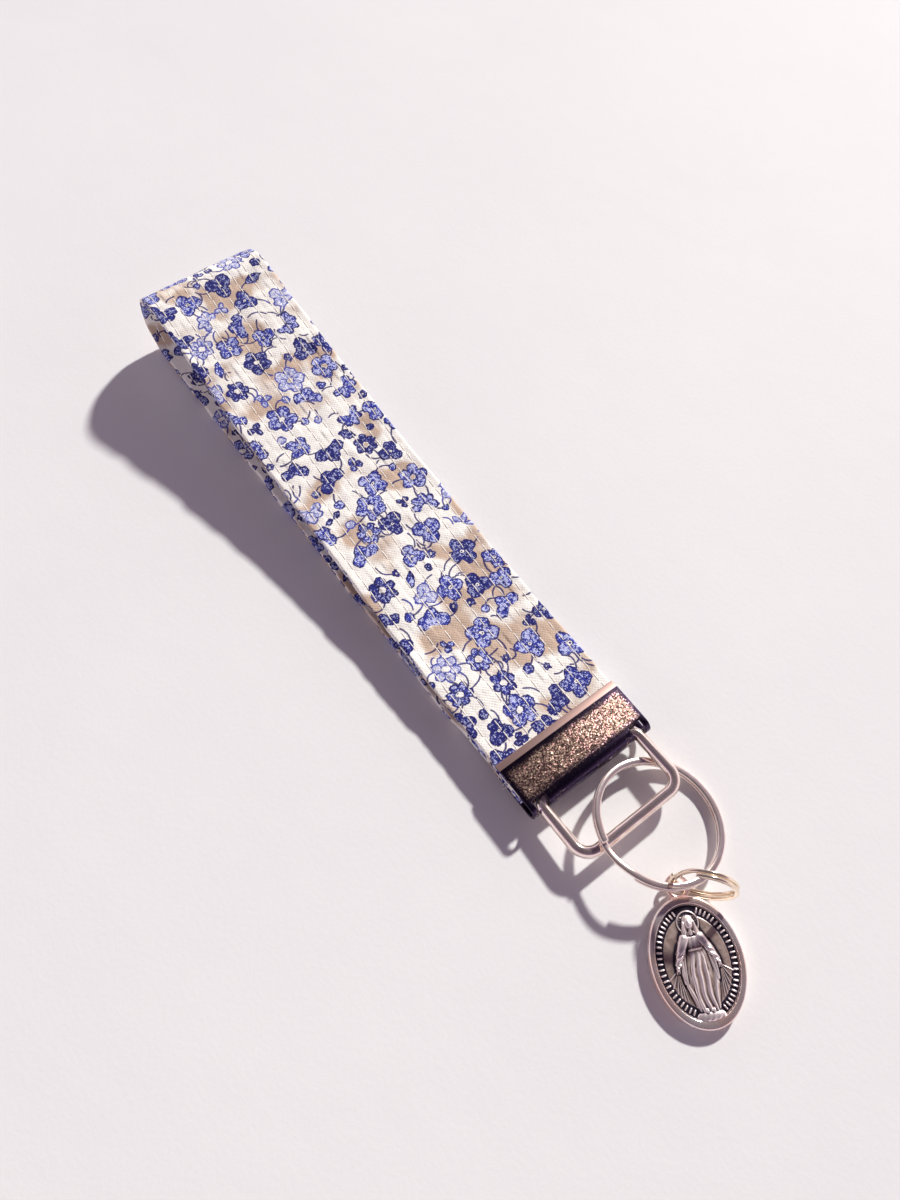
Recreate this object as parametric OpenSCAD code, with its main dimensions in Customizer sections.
// Wristlet keychain: a stitched cotton strap folded into a loop, crimped in a
// metal clamp, with a hinged wire bail, a split key ring, a small split ring
// and an oval medal. Millimetres, +Z up, strap along X, ring end towards +X.
// The origin is on the surface that the strap lies on, in the middle of the
// strap's width and 72 mm from the clamp.

/* [Strap] */
// Width of the strap
strap_width = 32; // [28:1:34]
// Length of the loop from its far fold to the clamp
loop_length = 149; // [125:1:170]
// Height of the loop over its far fold
loop_height = 19.7; // [14:0.1:24]
// Thickness of one layer of the strap
strap_thickness = 1.5; // [1.4:0.05:1.6]
// Thickness of the folded cotton cover on each side of the core
cover_thickness = 0.4; // [0.3:0.05:0.45]
// Radius of the two gentle bends that bring the lower layer up to the clamp
dip_radius = 40; // [25:1:60]

/* [Topstitching] */
// Number of lengthwise rows of stitching
row_count = 8; // [4:1:8]
// Distance between two rows
row_pitch = 4; // [3.6:0.1:4]
// Width of a sewing thread
thread_width = 0.4; // [0.2:0.05:0.5]
// Depth that a thread is pulled into the cover
thread_depth = 0.2; // [0.1:0.05:0.25]

/* [Clamp] */
// Depth of the clamp along the strap
clamp_depth = 13; // [12:0.5:16]
// Thickness of the clamp over both plates
clamp_thickness = 4.4; // [4.2:0.1:5]
// Height of the clamp's middle above the surface
clamp_height = 4; // [3.5:0.1:5]
// Length of the bevelled lip on the strap side
lip_length = 1.6; // [0.8:0.1:2]
// Drop of the bevelled lip
lip_drop = 0.4; // [0.1:0.05:0.5]
// Number of gripping teeth on each plate
tooth_count = 7; // [3:2:7]
// Height of a gripping tooth
tooth_height = 0.9; // [0.4:0.1:1]

/* [Bail] */
// Diameter of the bail's wire
bail_wire = 2.6; // [2:0.1:2.6]
// Distance between the middles of the bail's two arms
bail_width = 26.2; // [24:0.2:26.4]
// Length of the bail from its hinge to the middle of its crossbar
bail_length = 14.4; // [12:0.2:18]
// Bend radius of the bail's outer corners
bail_corner = 3.6; // [2.6:0.1:5]
// Angle of the bail above the clamp's plane
bail_rise = 2; // [0:0.5:4]

/* [Rings] */
// Outer diameter of the key ring
key_ring_diameter = 28; // [24:1:32]
// Radial width of the key ring's wire
key_ring_width = 1.5; // [1.2:0.1:1.6]
// Thickness of one turn of the key ring
key_ring_turn = 0.77; // [0.6:0.01:0.8]
// Outer diameter of the small ring
small_ring_diameter = 13; // [12.5:0.1:13.2]
// Radial width of the small ring's wire
small_ring_width = 0.8; // [0.6:0.05:0.85]
// Thickness of one turn of the small ring
small_ring_turn = 0.55; // [0.45:0.01:0.57]

/* [Medal] */
// Length of the oval without its eyelet
medal_length = 24; // [22:0.2:24]
// Width of the oval
medal_width = 18.3; // [16:0.1:18.4]
// Thickness of the medal at its rim
medal_thickness = 2.2; // [1.6:0.1:2.2]
// Width of the raised rim
rim_width = 1.5; // [0.8:0.1:2]
// Depth of the sunk field on each face
field_depth = 0.5; // [0.2:0.05:0.7]
// Radius of the hole in the eyelet
eyelet_hole = 1.7; // [1.6:0.05:1.8]

/* [Hidden] */
$fn = 64;

// Colours
cotton_colour = "#e9e2d6";
core_colour = "#f4f2ec";
thread_colour = "#fbf6ea";
clamp_colour = "#4b4046";
wire_colour = "#a99a98";
medal_colour = "#8d8084";

// Strap
layer_gap = 0.1;
half_layer = strap_thickness / 2;
half_core = half_layer - cover_thickness;
layer_offset = half_layer + layer_gap / 2;
clamp_x = 72;
hinge_x = clamp_x + clamp_depth - clamp_thickness / 2;
clamped_length = clamp_depth - clamp_thickness / 2 - bail_wire / 2 - 0.6;
strap_end_x = clamp_x + clamped_length;
// Far fold: a bend of this radius at the middle of the layer
fold_radius = loop_height / 2 - half_layer;
fold_x = clamp_x - loop_length + fold_radius + half_layer;
// Upper layer: one long arc that starts level at the clamp and ends on the fold
upper_run = clamp_x - fold_x;
upper_drop = clamp_height + layer_offset - half_layer - fold_radius;
upper_radius = (upper_run ^ 2 + upper_drop ^ 2 - fold_radius ^ 2)
    / (2 * (fold_radius - upper_drop));
upper_angle = asin(upper_run / (upper_radius + fold_radius));
// Lower layer: flat, then two equal bends up to the clamp
dip_rise = clamp_height - layer_offset - half_layer;
dip_angle = acos(1 - dip_rise / (2 * dip_radius));
flat_length = clamp_x - 2 * dip_radius * sin(dip_angle) - fold_x;
// Legs of the loop from the upper layer's end to the lower layer's end: the leg's
// bend radius, its turn towards the inside of the loop, its length if straight, steps
LOOP = [
    [0, 0, clamped_length, 1],
    [upper_radius, -upper_angle, 0, 12],
    [fold_radius, 180 + upper_angle, 0, 26],
    [0, 0, flat_length, 1],
    [dip_radius, dip_angle, 0, 4],
    [dip_radius, -dip_angle, 0, 4],
    [0, 0, clamped_length, 1]
];
seam_gap = 0.1;

// Clamp
half_clamp = clamp_thickness / 2;
half_gap = strap_thickness + layer_gap / 2;
slot_width = bail_wire + 0.6;
slot_back = 0.6;
tooth_width = 2.4;
tooth_plate = 0.5;
tooth_pitch = 4;
tooth_inset = 0.6;

// Bail
bail_joint_gap = 0.3;
hinge_bend = 2;

// Rings
turn_gap = 0.06;
ring_chamfer = 0.18;
climb_steps = 6;
climb_inset = 0.05;
climb_lap = 4;
key_tilt = 13.2;
key_x = clamp_x + 28.4;
key_y = 4;
key_split = 293;
key_open = 37;
floor_gap = 0.02;
small_place = [clamp_x + 42.65, 1.72, 6.54];
small_turn = [0, 95.3, 129];
small_split = 150;
small_open = 60;

// Medal
medal_slope = 2.3;
medal_azimuth = -27.5;
medal_xy = [clamp_x + 52.1, -7.72];
medal_gap = 0.05;
medal_z = medal_gap + medal_thickness / 2 * cos(medal_slope)
    + medal_length / 2 * sin(medal_slope);
eyelet_wall = 0.8;
eyelet_reach = medal_length / 2 + 1.9;
eyelet_radius = eyelet_hole + eyelet_wall;
eyelet_thickness = 0.9;
neck_width = 3;

function inward(heading) = [-sin(heading), cos(heading)];
function forward(heading) = [cos(heading), sin(heading)];
function leg_point(leg, at, heading, t) =
    leg[0] == 0
        ? at + t * leg[2] * forward(heading)
        : at + sign(leg[1]) * leg[0] * (inward(heading) - inward(heading + t * leg[1]));
// Points with headings along the legs from leg i onwards, without the first point
function trace(at, heading, i = 0) =
    i == len(LOOP) ? [] : concat(
        [for (k = [1 : LOOP[i][3]]) let (t = k / LOOP[i][3])
            [leg_point(LOOP[i], at, heading, t), heading + t * LOOP[i][1]]],
        trace(leg_point(LOOP[i], at, heading, 1), heading + LOOP[i][1], i + 1)
    );
function offset_line(n) = [for (p = PATH) p[0] - n * inward(p[1])];
function reversed(list) = [for (i = [len(list) - 1 : -1 : 0]) list[i]];
function oval(a, b, count = 72) = [
    for (i = [0 : count - 1]) [a * cos(i * 360 / count), b * sin(i * 360 / count)]
];
// Rise from 0 to 1 that is level at both ends
function climb(t) = t <= 0.1 ? 0 : t >= 0.9 ? 1 : (1 - cos((t - 0.1) / 0.8 * 180)) / 2;
PATH = concat(
    [[[strap_end_x, clamp_height + layer_offset], 180]],
    trace([strap_end_x, clamp_height + layer_offset], 180)
);
function ring_section(inner, outer, low, high, c) = [
    [inner + c, low], [outer - c, low], [outer, low + c], [outer, high - c],
    [outer - c, high], [inner + c, high], [inner, high - c], [inner, low + c]
];

// A band that runs round the loop; n is positive towards the outside of the loop,
// and past is how far its ends stand out of the strap's ends
module band(y0, y1, n0, n1, past = 0) {
    ends = [past, 0];
    low = offset_line(n0);
    high = offset_line(n1);
    last = len(PATH) - 1;
    outline = past == 0
        ? concat(low, reversed(high))
        : concat([low[0] + ends], low, [low[last] + ends, high[last] + ends],
            reversed(high), [high[0] + ends]);
    translate([0, y1, 0]) rotate([90, 0, 0]) linear_extrude(y1 - y0) polygon(outline);
}

function row_y(row) = (row - (row_count + 1) / 2) * row_pitch;

module needle_row(row, past = 0) {
    y = row_y(row);
    band(y - thread_width / 2, y + thread_width / 2,
        half_layer - thread_depth, half_layer, past);
}

module bobbin_row(row, past = 0) {
    y = row_y(row);
    band(y - thread_width / 2, y + thread_width / 2,
        -half_layer, -half_layer + thread_depth, past);
}

// Cotton strip folded round the core; its two folded edges meet at the -Y side
module strap_cover() {
    half_width = strap_width / 2;
    inner = half_width - cover_thickness;
    color(cotton_colour) difference() {
        band(-half_width, half_width, -half_layer, half_layer);
        band(-inner, inner, -half_core, half_core, 1);
        band(-half_width - 1, -inner + 0.1, -seam_gap / 2, seam_gap / 2, 1);
        for (row = [1 : row_count]) {
            needle_row(row, 1);
            bobbin_row(row, 1);
        }
    }
}

// Fleece and interfacing inside the cover
module strap_core() {
    inner = strap_width / 2 - cover_thickness;
    color(core_colour) band(-inner, inner, -half_core, half_core);
}

module needle_thread(row) {
    color(thread_colour) needle_row(row);
}

module bobbin_thread(row) {
    color(thread_colour) bobbin_row(row);
}

// Side outline of the folded plate; the fold is centred on the hinge
module clamp_outline() {
    difference() {
        union() {
            translate([-hinge_x + clamp_x, -half_clamp])
                square([hinge_x - clamp_x, clamp_thickness]);
            circle(r = half_clamp);
        }
        translate([-hinge_x + clamp_x - 1, -half_gap])
            square([hinge_x - clamp_x + 1, 2 * half_gap]);
        circle(r = half_gap);
        for (side = [-1, 1])
            translate([-hinge_x + clamp_x, side * half_clamp])
                polygon([[-1, side], [lip_length, side], [lip_length, 0], [0, -side * lip_drop],
                    [-1, -side * lip_drop]]);
    }
}

// One triangular tooth that points down from z = 0
module tooth() {
    rotate([90, 0, 90]) linear_extrude(tooth_plate)
        polygon([[-tooth_width / 2, 0.1], [0, -tooth_height], [tooth_width / 2, 0.1]]);
}

// Folded plate with its rolled end cut away for the bail's two arms
module clamp() {
    color(clamp_colour) translate([hinge_x, 0, clamp_height]) {
        difference() {
            translate([0, strap_width / 2, 0]) rotate([90, 0, 0])
                linear_extrude(strap_width) clamp_outline();
            for (side = [-1, 1])
                translate([-slot_back, side * bail_width / 2 - slot_width / 2, -half_clamp - 1])
                    cube([slot_back + half_clamp + 1, slot_width, clamp_thickness + 2]);
        }
        for (i = [0 : tooth_count - 1], side = [0, 1])
            mirror([0, 0, side])
                translate([clamp_x - hinge_x + tooth_inset,
                    (i - (tooth_count - 1) / 2) * tooth_pitch, half_gap])
                    tooth();
    }
}

// A quarter bend of the bail's wire in the XY plane about the origin
module wire_bend(radius) {
    rotate_extrude(angle = 90) translate([radius, 0]) circle(d = bail_wire, $fn = 40);
}

// One half of the bail, on the +Y side of its hinge at the origin
module bail_half() {
    arm_y = bail_width / 2;
    translate([0, bail_joint_gap / 2, 0]) rotate([-90, 0, 0])
        cylinder(h = arm_y - hinge_bend - bail_joint_gap / 2, d = bail_wire, $fn = 40);
    translate([hinge_bend, arm_y - hinge_bend, 0]) rotate([0, 0, 90]) wire_bend(hinge_bend);
    translate([hinge_bend, arm_y, 0]) rotate([0, 90, 0])
        cylinder(h = bail_length - bail_corner - hinge_bend, d = bail_wire, $fn = 40);
    translate([bail_length - bail_corner, arm_y - bail_corner, 0]) wire_bend(bail_corner);
    translate([bail_length, 0, 0]) rotate([-90, 0, 0])
        cylinder(h = arm_y - bail_corner, d = bail_wire, $fn = 40);
}

// Rectangular wire loop; its two ends meet inside the clamp's rolled end
module bail() {
    color(wire_colour) translate([hinge_x, 0, clamp_height]) rotate([0, -bail_rise, 0]) {
        bail_half();
        mirror([0, 1, 0]) bail_half();
    }
}

// A wire in two turns about Z: the lower turn starts at the split, and over the
// open angle before the split a slightly thinner length climbs to the upper turn
module split_ring(diameter, width, turn, split, open) {
    outer = diameter / 2;
    low = -turn - turn_gap / 2;
    rise = turn + turn_gap;
    climb_step = (open + 2 * climb_lap) / climb_steps;
    for (z = [0, rise])
        rotate([0, 0, split]) rotate_extrude(angle = 360 - open, $fn = 120)
            polygon(ring_section(outer - width, outer, low + z, low + turn + z, ring_chamfer));
    for (i = [0 : climb_steps - 1])
        hull()
            for (k = [i, i + 1])
                rotate([0, 0, split - open - climb_lap + k * climb_step])
                    translate([0, 0, rise * climb(k / climb_steps)])
                        rotate([90, 0, 0]) linear_extrude(0.04, center = true)
                            polygon(ring_section(outer - width + climb_inset,
                                outer - climb_inset, low + climb_inset,
                                low + turn - climb_inset, ring_chamfer));
}

// Key ring: over the bail's crossbar on one side and under its arm on the other
module key_ring() {
    half_height = key_ring_turn + turn_gap / 2;
    key_z = floor_gap + key_ring_diameter / 2 * sin(key_tilt) + half_height * cos(key_tilt);
    color(wire_colour) translate([key_x, key_y, key_z]) rotate([-key_tilt, 0, 0])
        split_ring(key_ring_diameter, key_ring_width, key_ring_turn, key_split, key_open);
}

// Small ring: stands on edge through the key ring and the medal's eyelet
module small_ring() {
    color(wire_colour) translate(small_place) rotate(small_turn)
        split_ring(small_ring_diameter, small_ring_width, small_ring_turn,
            small_split, small_open);
}

// Plain low relief of a robed, haloed figure standing on a half globe
module figure_relief() {
    relief_top = medal_thickness / 2 - 0.05;
    base = medal_thickness / 2 - field_depth - 0.1;
    height = relief_top - base;
    translate([0, 0, base]) {
        linear_extrude(height) polygon([
            [-4.6, 1.1], [-4.6, -1.1], [-1.5, -1.9], [2, -3], [4, -2.6], [7.2, -2.2],
            [7.2, 2.2], [4, 2.6], [2, 3], [-1.5, 1.9]
        ]);
        translate([-6, 0, 0]) cylinder(h = height, r = 1.25);
        translate([-6, 0, 0]) difference() {
            cylinder(h = height * 0.7, r = 2.1);
            translate([0, 0, -1]) cylinder(h = height + 2, r = 1.8);
        }
        intersection() {
            translate([9.4, 0, 0]) cylinder(h = height * 0.8, r = 2.8);
            translate([6.6, -3, 0]) cube([2.8, 6, height]);
        }
    }
}

// Oval with a raised rim on both faces, a figure on the front, and its eyelet
module medal() {
    a = medal_length / 2;
    b = medal_width / 2;
    color(medal_colour) translate([medal_xy[0], medal_xy[1], medal_z])
        rotate([0, medal_slope, medal_azimuth]) {
            difference() {
                translate([0, 0, -medal_thickness / 2])
                    linear_extrude(medal_thickness) polygon(oval(a, b));
                for (side = [0, 1])
                    mirror([0, 0, side]) translate([0, 0, medal_thickness / 2 - field_depth])
                        linear_extrude(field_depth + 1)
                            polygon(oval(a - rim_width, b - rim_width));
            }
            figure_relief();
            difference() {
                union() {
                    translate([-eyelet_reach, 0, -eyelet_thickness / 2])
                        cylinder(h = eyelet_thickness, r = eyelet_radius);
                    translate([-eyelet_reach, -neck_width / 2, -eyelet_thickness / 2])
                        cube([eyelet_reach - a + 0.8, neck_width, eyelet_thickness]);
                }
                translate([-eyelet_reach, 0, -eyelet_thickness])
                    cylinder(h = 2 * eyelet_thickness, r = eyelet_hole);
            }
        }
}

strap_cover();
strap_core();
for (row = [1 : row_count]) {
    needle_thread(row);
    bobbin_thread(row);
}
clamp();
bail();
key_ring();
small_ring();
medal();
